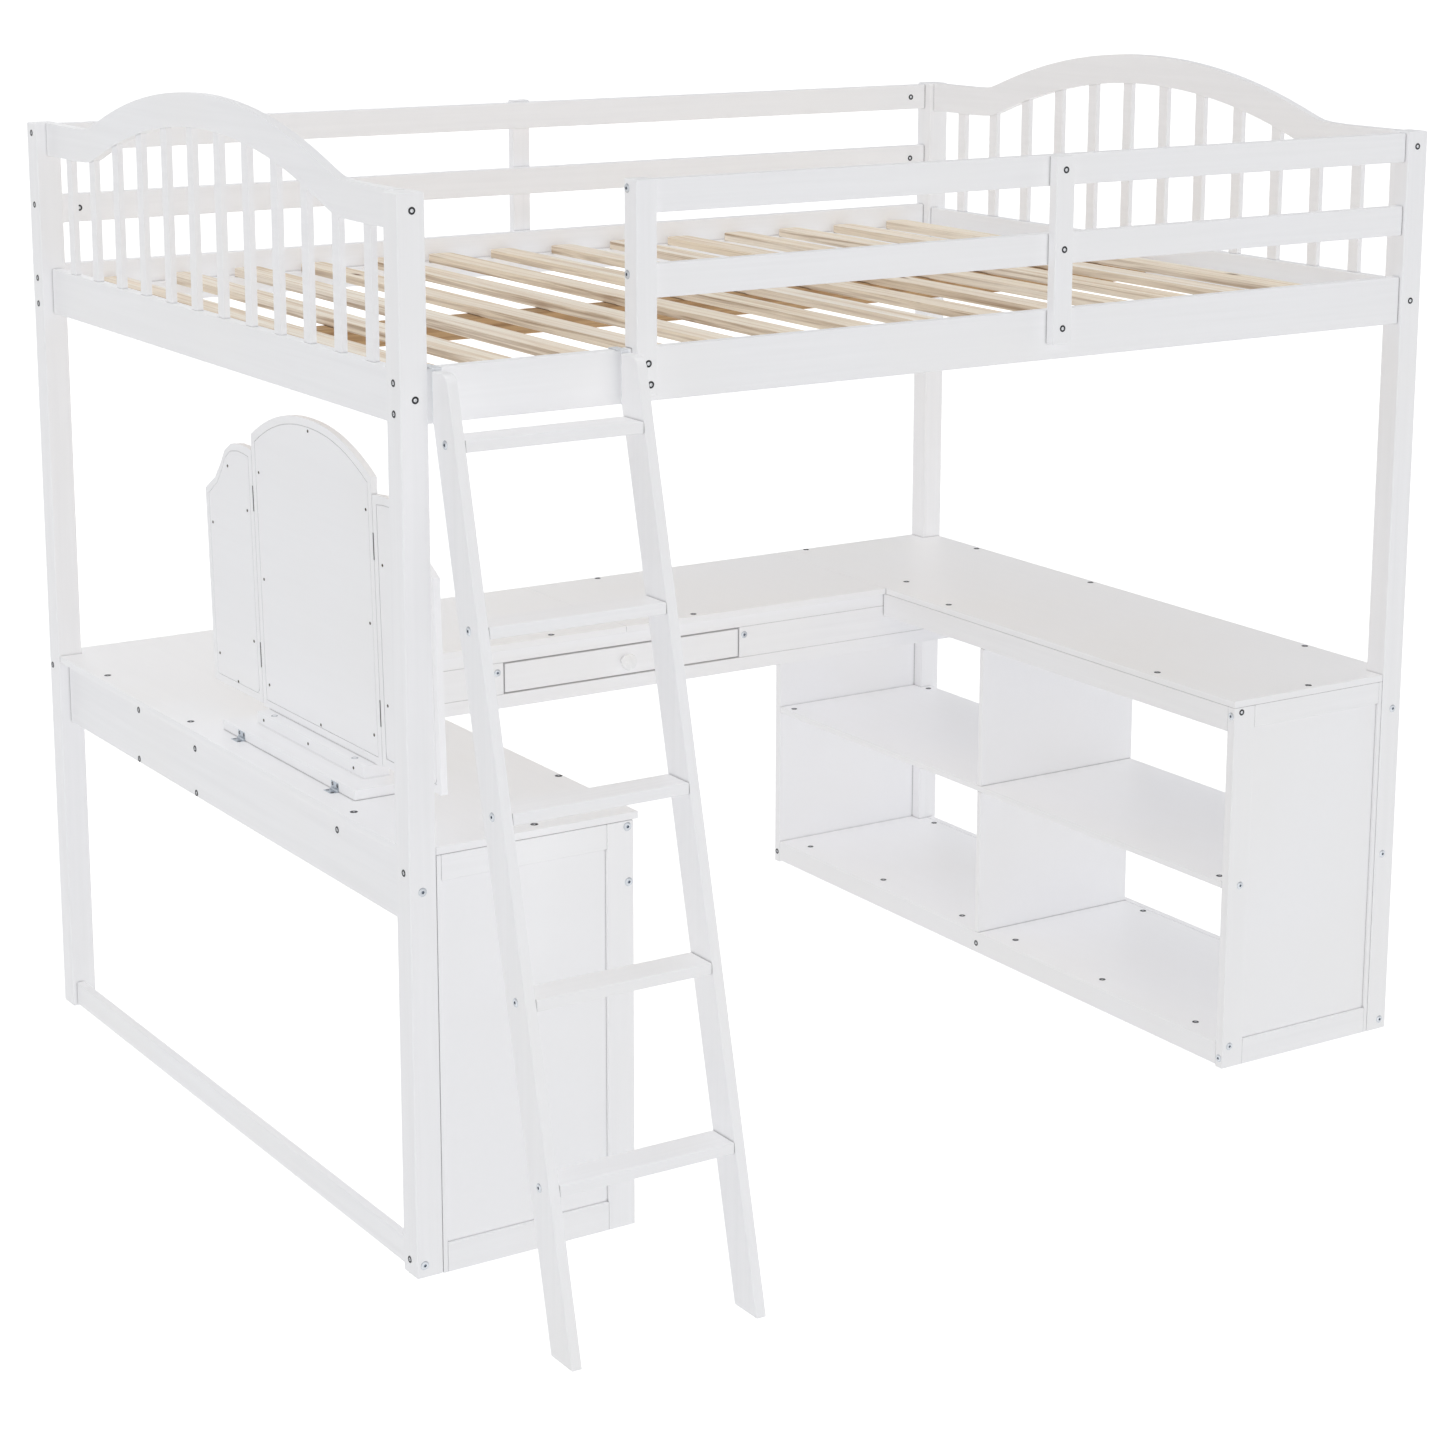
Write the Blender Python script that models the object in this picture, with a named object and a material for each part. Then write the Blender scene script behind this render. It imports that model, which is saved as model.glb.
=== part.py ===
"""Loft bed with a U-shaped desk, shelf unit, drawer, hinged dressing mirror and a hook-on ladder.

Every place is measured from the front left corner of the post frame: x runs along the bed,
y from the ladder side to the back, z up. The empty "bed_origin" moves that corner so that the
world origin is the centre of the whole footprint, ladder feet included.
"""
import math

import bmesh
import bpy
from mathutils import Matrix, Vector

GAP = 0.0003              # clearance between pieces that touch

# Bed frame
LENGTH = 2.000            # over the posts, along the bed
DEPTH = 1.440             # over the posts, front to back
POST = 0.045              # square section of the posts
POST_TOP = 1.645
RAIL_THICK = 0.020
SIDE_RAIL_INSET = 0.007   # the side rails' outer faces behind the posts' outer faces
END_RAIL_INSET = 0.019
SIDE_RAIL = (1.310, 1.392)      # bottom and top
END_RAIL = (1.306, 1.386)
GUARD_TOP_RAIL = (1.592, 1.642)
GUARD_MIDDLE_RAIL = (1.465, 1.516)
BOARD_BOTTOM = 1.337      # lower end of the guards' support boards
BOARD_THICK = 0.020
BOARD_WIDTH = 0.037
GATE_POST = (0.389, 0.425)      # the short upright beside the ladder, along x
GATE_POST_FRONT = -0.009
GATE_POST_BOTTOM = 1.321
FRONT_BOARD_X = 1.172
BACK_BOARD_X = 0.9815

# Arched end rails and their spindles
ARCH_SHOULDER = (1.588, 1.645)      # bottom and top of the flat shoulders
ARCH_RADIUS = 1.305       # of the top edge; the bottom edge shares its centre
ARCH_PEAK = 1.738
ARCH_BAND = 0.055         # width of the arched part
ARCH_THICK = 0.017
ARCH_BLEND = 0.070        # length over which the arch runs out into a shoulder
SPINDLE_COUNT = 12
SPINDLE_PITCH = 0.1056
SPINDLE_WIDE = 0.024
SPINDLE_THICK = 0.010

# Slats
SLAT_COUNT = 14
SLAT_PITCH = 0.134
SLAT_WIDTH = 0.052
SLAT_THICK = 0.0155
SLAT_TOP = 1.364
SLAT_Y = (0.035, 1.405)
LEDGER = 0.021
BEAM_Y = (0.695, 0.745)

# Ladder
LADDER_SLOPE = 0.2404     # run of the stiles per unit of height
STILE_FOOT_Y = (-0.387, -0.3255)
STILE_BACK = -0.0095      # where the stiles' back edges turn vertical
STILE_TOP = 1.390
STILE_THICK = 0.0175
STILE_X = (0.0463, 0.3606)      # outer faces' x of the left and the right stile (low sides)
STILE_CORNER = 0.024
RUNG_THICK = 0.018
RUNG_FIRST = 0.248        # centre height of the lowest rung
RUNG_PITCH = 0.260
RUNG_COUNT = 5
HOOK_THICK = 0.003

# Desks
DESK_TOP = 0.676
DESK_THICK = 0.012
DESK_WING = 0.395         # from the post frame's end to the inner edge of a side desktop
BACK_DESK_FRONT = 1.043
DESK_EDGE = 0.0025        # the desktops' outer edges behind the posts' outer faces
APRON_BOTTOM = 0.550
APRON_THICK = 0.018
APRON_INSET = 0.009       # the back apron behind the back desktop's front edge
LOW_APRON_BOTTOM = 0.618  # the shelf unit's inner apron is a shallow one
PANEL_THICK = 0.018
PANEL_SINK = 0.006        # how far the panels lie behind their frames
STRETCHER = (0.004, 0.047)
STRETCHER_THICK = 0.015
STRETCHER_INSET = 0.008

BACK_RAIL_Y = (1.416, 1.434)

# Shelf unit
UNIT_X = 1.605            # inner side of the unit
SHELF = (0.332, 0.344)
BOTTOM_BOARD = (0.034, 0.046)
DIVIDER_Y = (0.719, 0.731)
UNIT_BACK_X = 1.981       # the shelf's outer edge
UNIT_BACK_Y = (1.421, 1.439)

# Drawer
DRAWER_X = (0.737, 1.261)
DRAWER_Z = (0.577, 0.638)
DRAWER_REVEAL = 0.003
DRAWER_DEPTH = 0.340
DRAWER_WALL = 0.010

# Dressing mirror
MIRROR_Y = (0.307, 0.747)
MIRROR_X = 0.112          # back face of the mirror, at its foot
MIRROR_THICK = 0.011
MIRROR_LEAN = 1.2         # degrees, backwards
MIRROR_BOTTOM = 0.7143
MIRROR_SHOULDER = 1.178
MIRROR_RISE = 0.058
MIRROR_BASE_Y = (0.281, 0.775)
MIRROR_BASE_X = (0.050, 0.160)
PLINTH_X = 0.090
PLINTH_Y = (0.329, 0.725)
MIRROR_BASE_THICK = 0.017
WING_WIDTH = 0.196
WING_OUTER_TOP = 1.056
WING_INNER_TOP = 1.154
WING_GAP = 0.0015
GLASS_THICK = 0.003
GLASS_SINK = 0.001
FRAME_BORDER = 0.028      # frame left around the glass
BACK_BORDER = 0.013       # frame left around the recess in the back
BACK_SINK = 0.0015

FOOT_FRONT = STILE_FOOT_Y[0]
BED_BACK = DEPTH - SIDE_RAIL_INSET + BOARD_THICK
ORIGIN = Vector((-LENGTH / 2, -(FOOT_FRONT + BED_BACK) / 2, 0.0))

MATERIALS = {
    "white_paint": ((0.80, 0.80, 0.81), 0.38, 0.0),
    "panel_white": ((0.78, 0.78, 0.79), 0.42, 0.0),
    "pine": ((0.72, 0.55, 0.36), 0.60, 0.0),
    "dark_pine": ((0.33, 0.19, 0.09), 0.70, 0.0),
    "steel": ((0.55, 0.57, 0.60), 0.35, 1.0),
    "mirror_glass": ((0.85, 0.87, 0.88), 0.04, 1.0),
}


def clear_scene():
    for item in list(bpy.data.objects):
        bpy.data.objects.remove(item, do_unlink=True)


def finish(name, kind):
    """A Principled material of the piece's own."""
    colour, roughness, metallic = MATERIALS[kind]
    material = bpy.data.materials.new(name + "_finish")
    material.use_nodes = True
    shader = material.node_tree.nodes["Principled BSDF"]
    shader.inputs["Base Color"].default_value = (*colour, 1.0)
    shader.inputs["Roughness"].default_value = roughness
    shader.inputs["Metallic"].default_value = metallic
    material.diffuse_color = (*colour, 1.0)
    return material


def add_object(name, bm, parent, kind=None, origin=Vector((0, 0, 0))):
    """Make an object of a bmesh given in frame coordinates, with its origin at the given point."""
    bmesh.ops.translate(bm, verts=bm.verts, vec=-origin)
    bmesh.ops.recalc_face_normals(bm, faces=bm.faces)
    mesh = bpy.data.meshes.new(name)
    bm.to_mesh(mesh)
    bm.free()
    item = bpy.data.objects.new(name, mesh)
    bpy.context.collection.objects.link(item)
    item.parent = parent
    item.location = origin - pivot_of(parent)
    if kind:
        mesh.materials.append(finish(name, kind))
    else:
        item.hide_render = True
        item.display_type = "WIRE"
    return item


def pivot_of(parent):
    """A parent empty's place in frame coordinates."""
    place = Vector((0, 0, 0))
    while parent.parent:
        place += parent.location
        parent = parent.parent
    return place


def empty(name, place, parent=None):
    item = bpy.data.objects.new(name, None)
    bpy.context.collection.objects.link(item)
    if parent:
        item.parent = parent
        item.location = Vector(place) - pivot_of(parent)
    else:
        item.location = place
    return item


def add_box(bm, x, y, z):
    size = Vector((x[1] - x[0], y[1] - y[0], z[1] - z[0]))
    middle = Vector(((x[0] + x[1]) / 2, (y[0] + y[1]) / 2, (z[0] + z[1]) / 2))
    matrix = Matrix.Translation(middle) @ Matrix.Diagonal((*size, 1.0))
    bmesh.ops.create_cube(bm, size=1.0, matrix=matrix)


def board(name, x, y, z, kind="white_paint", parent=None):
    """A straight board between two values on each axis."""
    bm = bmesh.new()
    add_box(bm, x, y, z)
    middle = Vector(((x[0] + x[1]) / 2, (y[0] + y[1]) / 2, (z[0] + z[1]) / 2))
    return add_object(name, bm, parent or frame, kind, middle)


def boards(name, boxes, parent=None):
    """Several boxes in one hidden mesh, to be joined to or cut from a piece."""
    bm = bmesh.new()
    for x, y, z in boxes:
        add_box(bm, x, y, z)
    return add_object(name, bm, parent or frame)


AXES = {"x": (1, 2), "y": (0, 2), "z": (0, 1)}


def slab(name, outline, axis, span, kind="white_paint", parent=None):
    """A flat outline on the two other axes, extruded along one axis."""
    bm = bmesh.new()
    along = "xyz".index(axis)
    first, second = AXES[axis]
    ring = []
    for a, b in outline:
        place = [0.0, 0.0, 0.0]
        place[along], place[first], place[second] = span[0], a, b
        ring.append(bm.verts.new(place))
    face = bm.faces.new(ring)
    grown = bmesh.ops.extrude_face_region(bm, geom=[face])
    moved = [part for part in grown["geom"] if isinstance(part, bmesh.types.BMVert)]
    step = [0.0, 0.0, 0.0]
    step[along] = span[1] - span[0]
    bmesh.ops.translate(bm, verts=moved, vec=step)
    return add_object(name, bm, parent or frame, kind)


def combine(target, tool, operation):
    modifier = target.modifiers.new(tool.name, "BOOLEAN")
    modifier.operation = operation
    modifier.object = tool
    modifier.solver = "EXACT"


def carve(target, x, y, z, parent=None):
    """Cut a box out of a piece."""
    tool = boards(target.name + "_cut_%d" % len(target.modifiers), [(x, y, z)], parent)
    combine(target, tool, "DIFFERENCE")


def notched(x, y, notches):
    """A rectangle's outline, anticlockwise, with a notch (dx, dy) at the named corners."""
    corners = [("low", "low"), ("high", "low"), ("high", "high"), ("low", "high")]
    outline = []
    for index, (side_x, side_y) in enumerate(corners):
        corner = (x[side_x == "high"], y[side_y == "high"])
        cut = notches.get(index)
        if not cut:
            outline.append(corner)
            continue
        inner_x = corner[0] + (cut[0] if side_x == "low" else -cut[0])
        inner_y = corner[1] + (cut[1] if side_y == "low" else -cut[1])
        steps = [(corner[0], inner_y), (inner_x, inner_y), (inner_x, corner[1])]
        outline += steps if index in (0, 2) else steps[::-1]
    return outline


def build_posts():
    for side, x in (("left", 0.0), ("right", LENGTH - POST)):
        for end, y in (("front", 0.0), ("back", DEPTH - POST)):
            board("post_%s_%s" % (end, side), (x, x + POST), (y, y + POST), (0.0, POST_TOP))


def build_side_rails():
    between = (POST + GAP, LENGTH - POST - GAP)
    front = (SIDE_RAIL_INSET, SIDE_RAIL_INSET + RAIL_THICK)
    back = (DEPTH - front[1], DEPTH - front[0])
    ledger_z = (SLAT_TOP - SLAT_THICK - GAP - 0.025, SLAT_TOP - SLAT_THICK - GAP)
    board("side_rail_front", between, front, SIDE_RAIL)
    board("side_rail_back", between, back, SIDE_RAIL)
    board("slat_ledger_front", between, (front[1] + GAP, front[1] + LEDGER), ledger_z)
    board("slat_ledger_back", between, (back[0] - LEDGER, back[0] - GAP), ledger_z)


def arch_edge(radius, shoulder, steps=56):
    """One edge of the arched rail: points (offset from the middle, height) across the whole arch."""
    centre = ARCH_PEAK - ARCH_RADIUS
    half = math.sqrt(radius ** 2 - (shoulder - centre) ** 2)
    reach = half + ARCH_BLEND / 2
    points = []
    for index in range(steps + 1):
        offset = reach * (2 * index / steps - 1)
        height = centre + math.sqrt(radius ** 2 - offset ** 2) - shoulder
        width = ARCH_BLEND * 0.1
        points.append((offset, shoulder + (height + math.sqrt(height ** 2 + width ** 2)) / 2))
    return [(-reach - 0.02, shoulder)] + points + [(reach + 0.02, shoulder)]


def height_on(points, place):
    """Height of a line of points (ordered along y) at one y."""
    for (a, low), (b, high) in zip(points, points[1:]):
        if a <= place <= b:
            return low + (high - low) * (place - a) / (b - a)
    return points[0][1]


def build_end(side, outer, inner):
    """One end of the bed: a lower rail, and an arched rail with its spindles."""
    x = (min(outer, inner), max(outer, inner))
    y = (POST + GAP, DEPTH - POST - GAP)
    middle = DEPTH / 2
    board("end_rail_" + side, x, y, END_RAIL)
    x = (outer, outer + ARCH_THICK) if inner > outer else (outer - ARCH_THICK, outer)
    top = [(middle + a, b) for a, b in arch_edge(ARCH_RADIUS, ARCH_SHOULDER[1])]
    under = [(middle + a, b) for a, b in arch_edge(ARCH_RADIUS - ARCH_BAND, ARCH_SHOULDER[0])]
    outline = [(y[0], ARCH_SHOULDER[1])] + top + [(y[1], ARCH_SHOULDER[1]), (y[1], ARCH_SHOULDER[0])]
    outline += under[::-1] + [(y[0], ARCH_SHOULDER[0])]
    arch = slab("arched_rail_" + side, outline, "x", x)
    centre = (x[0] + x[1]) / 2
    spindles = []
    for index in range(SPINDLE_COUNT):
        place = middle + (index - (SPINDLE_COUNT - 1) / 2) * SPINDLE_PITCH
        tip = max(height_on(under, place - SPINDLE_WIDE), height_on(under, place + SPINDLE_WIDE)) + 0.008
        spindles.append(((centre - SPINDLE_THICK / 2, centre + SPINDLE_THICK / 2),
                         (place - SPINDLE_WIDE / 2, place + SPINDLE_WIDE / 2),
                         (END_RAIL[1] + GAP, tip)))
    combine(arch, boards("spindles_" + side, spindles), "UNION")


def build_slats():
    """The slats lie across a beam that runs down the middle of the bed."""
    first = (LENGTH - SLAT_PITCH * (SLAT_COUNT - 1) - SLAT_WIDTH) / 2
    bottom = SLAT_TOP - SLAT_THICK
    ends = END_RAIL_INSET + RAIL_THICK + GAP
    slats = []
    for index in range(SLAT_COUNT):
        left = first + index * SLAT_PITCH
        slats.append(((left, left + SLAT_WIDTH), SLAT_Y, (bottom, SLAT_TOP)))
    deck = board("slat_deck", (ends, LENGTH - ends), BEAM_Y, (END_RAIL[0] + 0.006, bottom + 0.001), "pine")
    combine(deck, boards("slats", slats), "UNION")


def build_guards():
    front = (SIDE_RAIL_INSET, SIDE_RAIL_INSET + RAIL_THICK)
    back = (DEPTH - front[1], DEPTH - front[0])
    board("guard_top_rail_front", (GATE_POST[1] + GAP, LENGTH - POST - GAP), front, GUARD_TOP_RAIL)
    board("guard_middle_rail_front", (GATE_POST[1] + GAP, LENGTH - POST - GAP), front, GUARD_MIDDLE_RAIL)
    board("guard_top_rail_back", (POST + GAP, LENGTH - POST - GAP), back, GUARD_TOP_RAIL)
    board("guard_middle_rail_back", (POST + GAP, LENGTH - POST - GAP), back, GUARD_MIDDLE_RAIL)
    lap = front[0] - GAP
    seat = SIDE_RAIL[1] + GAP
    upright = [(GATE_POST_FRONT, GATE_POST_BOTTOM), (lap, GATE_POST_BOTTOM), (lap, seat),
               (front[1], seat), (front[1], GUARD_TOP_RAIL[1] + 0.002),
               (GATE_POST_FRONT, GUARD_TOP_RAIL[1] + 0.002)]
    slab("guard_gate_post", upright, "x", GATE_POST)
    board("guard_board_front", (FRONT_BOARD_X, FRONT_BOARD_X + BOARD_WIDTH),
          (front[0] - BOARD_THICK, front[0] - GAP), (BOARD_BOTTOM, GUARD_TOP_RAIL[1] - 0.001))
    board("guard_board_back", (BACK_BOARD_X, BACK_BOARD_X + BOARD_WIDTH),
          (back[1] + GAP, back[1] + BOARD_THICK), (BOARD_BOTTOM, GUARD_TOP_RAIL[1] + 0.003))


def stile_outline():
    """Side view of a ladder stile: a slanted board, upright at the back near its top."""
    bend = (STILE_BACK - STILE_FOOT_Y[1]) / LADDER_SLOPE
    front_top = STILE_FOOT_Y[0] + LADDER_SLOPE * (STILE_TOP - STILE_CORNER)
    outline = [(STILE_FOOT_Y[0], 0.0), (STILE_FOOT_Y[1], 0.0), (STILE_BACK, bend), (STILE_BACK, STILE_TOP)]
    steps = 6
    for index in range(steps + 1):
        angle = math.pi / 2 * index / steps
        outline.append((front_top + STILE_CORNER * (1 - math.sin(angle)) * 0.9,
                        STILE_TOP - STILE_CORNER * (1 - math.cos(angle))))
    return outline


def build_ladder():
    ladder = empty("ladder_lift", (0.212, STILE_BACK, SIDE_RAIL[1]), frame)
    for side, left in zip(("left", "right"), STILE_X):
        slab("ladder_stile_" + side, stile_outline(), "x", (left, left + STILE_THICK), parent=ladder)
        low, high = STILE_BACK + GAP, STILE_BACK + GAP + HOOK_THICK
        top = SIDE_RAIL[1] + GAP
        inner = SIDE_RAIL_INSET + RAIL_THICK + GAP
        hook = [(low, top - 0.080), (high, top - 0.080), (high, top), (inner, top), (inner, top - 0.025),
                (inner + HOOK_THICK, top - 0.025), (inner + HOOK_THICK, top + HOOK_THICK),
                (low, top + HOOK_THICK)]
        slab("ladder_hook_" + side, hook, "x", (left + 0.001, left + STILE_THICK - 0.001), "steel", ladder)
    inside = (STILE_X[0] + STILE_THICK + GAP, STILE_X[1] - GAP)
    for index in range(RUNG_COUNT):
        height = RUNG_FIRST + index * RUNG_PITCH
        shift = LADDER_SLOPE * height
        board("ladder_rung_%d" % (index + 1), inside,
              (STILE_FOOT_Y[0] + shift + 0.001, STILE_FOOT_Y[1] + shift - 0.001),
              (height - RUNG_THICK / 2, height + RUNG_THICK / 2), parent=ladder)


def build_desktops():
    """Two side desktops over the full depth, and between them the back desktop in two lengths."""
    z = (DESK_TOP - DESK_THICK, DESK_TOP)
    edge, front = DESK_EDGE, 0.002
    notch = (POST - edge + GAP, POST - front + GAP)
    y = (front, DEPTH - front)
    inner = (DESK_WING + GAP, LENGTH - DESK_WING - GAP)
    seam = LENGTH / 2 - 0.001
    slab("desktop_left", notched((edge, DESK_WING), y, {0: notch, 3: notch}), "z", z)
    slab("desktop_right", notched((LENGTH - DESK_WING, LENGTH - edge), y, {1: notch, 2: notch}), "z", z)
    board("desktop_back_left", (inner[0], seam), (BACK_DESK_FRONT, y[1]), z)
    board("desktop_back_right", (seam + GAP, inner[1]), (BACK_DESK_FRONT, y[1]), z)


def build_aprons():
    top = DESK_TOP - DESK_THICK - GAP
    deep, shallow = (APRON_BOTTOM, top), (LOW_APRON_BOTTOM, top)
    outer = (POST + GAP, DEPTH - POST - GAP)
    inset, thick = END_RAIL_INSET, RAIL_THICK
    front = PANEL_THICK + 0.002 + GAP
    back_y = (BACK_DESK_FRONT + APRON_INSET, BACK_DESK_FRONT + APRON_INSET + APRON_THICK)
    board("apron_outer_left", (inset, inset + thick), outer, deep)
    board("apron_outer_right", (LENGTH - inset - thick, LENGTH - inset), outer, deep)
    board("apron_inner_left", (0.367, 0.367 + APRON_THICK), (front, back_y[0] - GAP), deep)
    board("apron_inner_right", (UNIT_X, UNIT_X + APRON_THICK), (front, back_y[0] - GAP), shallow)
    reach = (inset + thick + GAP, LENGTH - inset - thick - GAP)
    apron = board("apron_back_desk", reach, back_y, deep)
    carve(apron, DRAWER_X, (back_y[0] - 0.01, back_y[1] + 0.01), DRAWER_Z)
    board("desk_back_rail", (POST + GAP, UNIT_X - GAP), BACK_RAIL_Y, (0.600, top))
    for side, x in (("left", STRETCHER_INSET), ("right", LENGTH - STRETCHER_INSET - STRETCHER_THICK)):
        board("floor_stretcher_" + side, (x, x + STRETCHER_THICK), outer, STRETCHER)
    return back_y


def build_drawer(back_y):
    """The drawer slides out towards the front, between two runners."""
    drawer = empty("drawer_slide", ((DRAWER_X[0] + DRAWER_X[1]) / 2, back_y[0], DRAWER_Z[0]), frame)
    face_x = (DRAWER_X[0] + DRAWER_REVEAL, DRAWER_X[1] - DRAWER_REVEAL)
    face_z = (DRAWER_Z[0] + DRAWER_REVEAL, DRAWER_Z[1] - DRAWER_REVEAL)
    board("drawer_front", face_x, (back_y[0], back_y[1] - GAP), face_z, parent=drawer)
    box_x = (face_x[0] + 0.008, face_x[1] - 0.008)
    box_y = (back_y[1], back_y[1] + DRAWER_DEPTH)
    box_z = (face_z[0] + 0.001, face_z[1] - 0.006)
    tray = board("drawer_box", box_x, box_y, box_z, "pine", drawer)
    wall = DRAWER_WALL
    carve(tray, (box_x[0] + wall, box_x[1] - wall), (box_y[0] + wall, box_y[1] - wall),
          (box_z[0] + 0.006, box_z[1] + 0.02), drawer)
    build_knob(drawer, (DRAWER_X[0] + DRAWER_X[1]) / 2, back_y[0] - GAP, sum(face_z) / 2)
    outside = 0.012
    for side, edge, sign in (("left", box_x[0], -1), ("right", box_x[1], 1)):
        near, far = edge + sign * 0.0015, edge + sign * (0.0015 + outside)
        ledge = edge - sign * 0.008
        profile = [(near, box_z[0] - 0.0006), (near, DRAWER_Z[1] + 0.010), (far, DRAWER_Z[1] + 0.010),
                   (far, DRAWER_Z[0] - 0.008), (ledge, DRAWER_Z[0] - 0.008), (ledge, box_z[0] - 0.0006)]
        slab("drawer_runner_" + side, profile, "y", (back_y[1] + GAP, BACK_RAIL_Y[0] - GAP), "pine")


def build_knob(drawer, x, y, z):
    """A turned round knob: its profile is spun about a line along y."""
    profile = [(0.0, 0.0), (0.008, 0.0), (0.007, -0.007), (0.0085, -0.010), (0.0150, -0.014), (0.0165, -0.018),
               (0.0150, -0.022), (0.009, -0.0245), (0.0, -0.025)]
    bm = bmesh.new()
    verts = [bm.verts.new((x + radius, y + depth, z)) for radius, depth in profile]
    edges = [bm.edges.new(pair) for pair in zip(verts, verts[1:])]
    bmesh.ops.spin(bm, geom=verts + edges, cent=(x, y, z), axis=(0, 1, 0), angle=2 * math.pi, steps=24,
                   use_merge=True)
    bmesh.ops.remove_doubles(bm, verts=bm.verts, dist=0.00001)
    knob = add_object("drawer_knob", bm, drawer, "white_paint", Vector((x, y, z)))
    knob.data.shade_smooth()
    knob.data.set_sharp_from_angle(angle=math.radians(50))


def build_end_panels():
    """Frame-and-panel fronts that close the desks, and the shelf unit's back end."""
    top = DESK_TOP - DESK_THICK - GAP
    for side, start, x, field in (("left", 0.0, (POST + GAP, 0.385), (POST + 0.008, 0.338)),
                                  ("right", 0.002, (UNIT_X, LENGTH - POST - GAP), (1.652, 1.947))):
        y = (start, start + PANEL_THICK)
        panel = board("front_panel_" + side, x, y, (0.0, top))
        carve(panel, field, (y[0] - 0.01, y[0] + PANEL_SINK), (0.047, 0.6245))
    board("unit_back_panel", (UNIT_X, LENGTH - POST - GAP), UNIT_BACK_Y, (0.0, top))


def build_shelf_unit():
    y = (0.002 + PANEL_THICK + GAP, UNIT_BACK_Y[0] - GAP)
    x = (UNIT_X, UNIT_BACK_X)
    past_post = UNIT_BACK_X - (LENGTH - POST) + GAP
    notches = {1: (past_post, POST - y[0] + GAP), 2: (past_post, y[1] - (DEPTH - POST) + GAP)}
    slab("shelf_middle", notched(x, y, notches), "z", SHELF)
    low_x = (UNIT_X, LENGTH - STRETCHER_INSET - STRETCHER_THICK - GAP)
    past_post += low_x[1] - UNIT_BACK_X
    low_notches = {index: (past_post, notch[1]) for index, notch in notches.items()}
    bottom = slab("shelf_bottom_board", notched(low_x, y, low_notches), "z", BOTTOM_BOARD)
    rail = (UNIT_X, UNIT_X + PANEL_THICK)
    combine(bottom, boards("shelf_plinth_rail", [(rail, y, (0.004, BOTTOM_BOARD[0] + 0.001))]), "UNION")
    top = DESK_TOP - DESK_THICK - GAP
    apron = UNIT_X + APRON_THICK + GAP
    clear = LENGTH - END_RAIL_INSET - RAIL_THICK - GAP
    upper = [(x[0], SHELF[1] + GAP), (x[1], SHELF[1] + GAP), (x[1], APRON_BOTTOM - GAP),
             (clear, APRON_BOTTOM - GAP), (clear, top), (apron, top), (apron, LOW_APRON_BOTTOM - GAP),
             (x[0], LOW_APRON_BOTTOM - GAP)]
    slab("shelf_divider_upper", upper, "y", DIVIDER_Y)
    board("shelf_divider_lower", low_x, DIVIDER_Y, (BOTTOM_BOARD[1] + GAP, SHELF[0] - GAP))


def mirror_top():
    """Arched top of the centre mirror, from its low-y corner to its high-y corner."""
    steps = 24
    points = []
    for index in range(steps + 1):
        share = index / steps
        lift = 1.0 - abs(2 * share - 1) ** 2.2
        points.append((MIRROR_Y[0] + share * (MIRROR_Y[1] - MIRROR_Y[0]), MIRROR_SHOULDER + MIRROR_RISE * lift))
    return points


def wing_top(inner, outer):
    """S-curved top of a wing, from its hinge side to its outer side."""
    shape = [(0.0, 0.965), (0.12, 0.995), (0.25, 1.0), (0.42, 0.95), (0.55, 0.80), (0.66, 0.52), (0.78, 0.26),
             (0.90, 0.12), (1.0, 0.0)]
    rise = WING_INNER_TOP - WING_OUTER_TOP
    return [(inner + share * (outer - inner), WING_OUTER_TOP + lift * rise) for share, lift in shape]


def inset_outline(outline, border):
    """Move a convex-enough outline's points towards its middle by about the border."""
    ys, zs = [a for a, b in outline], [b for a, b in outline]
    y_mid, y_half = (min(ys) + max(ys)) / 2, (max(ys) - min(ys)) / 2
    z_mid, z_half = (min(zs) + max(zs)) / 2, (max(zs) - min(zs)) / 2
    return [(y_mid + (a - y_mid) * (y_half - border) / y_half,
             z_mid + (b - z_mid) * (z_half - border) / z_half) for a, b in outline]


def mirror_leaf(name, outline, parent):
    """A framed mirror: a panel with a shallow recess in its back and the glass in its front."""
    front = MIRROR_X + MIRROR_THICK
    leaf = slab(name + "_frame", outline, "x", (MIRROR_X, front), parent=parent)
    field = inset_outline(outline, BACK_BORDER)
    back = slab(name + "_back_recess", field, "x", (MIRROR_X - 0.01, MIRROR_X + BACK_SINK), None, parent)
    combine(leaf, back, "DIFFERENCE")
    field = inset_outline(outline, FRAME_BORDER)
    floor = front - GLASS_SINK - GLASS_THICK
    recess = slab(name + "_glass_recess", field, "x", (floor, front + 0.01), None, parent)
    combine(leaf, recess, "DIFFERENCE")
    sheet = inset_outline(outline, FRAME_BORDER + 0.0005)
    slab(name + "_glass", sheet, "x", (floor + GAP, front - GLASS_SINK), "mirror_glass", parent)


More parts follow.
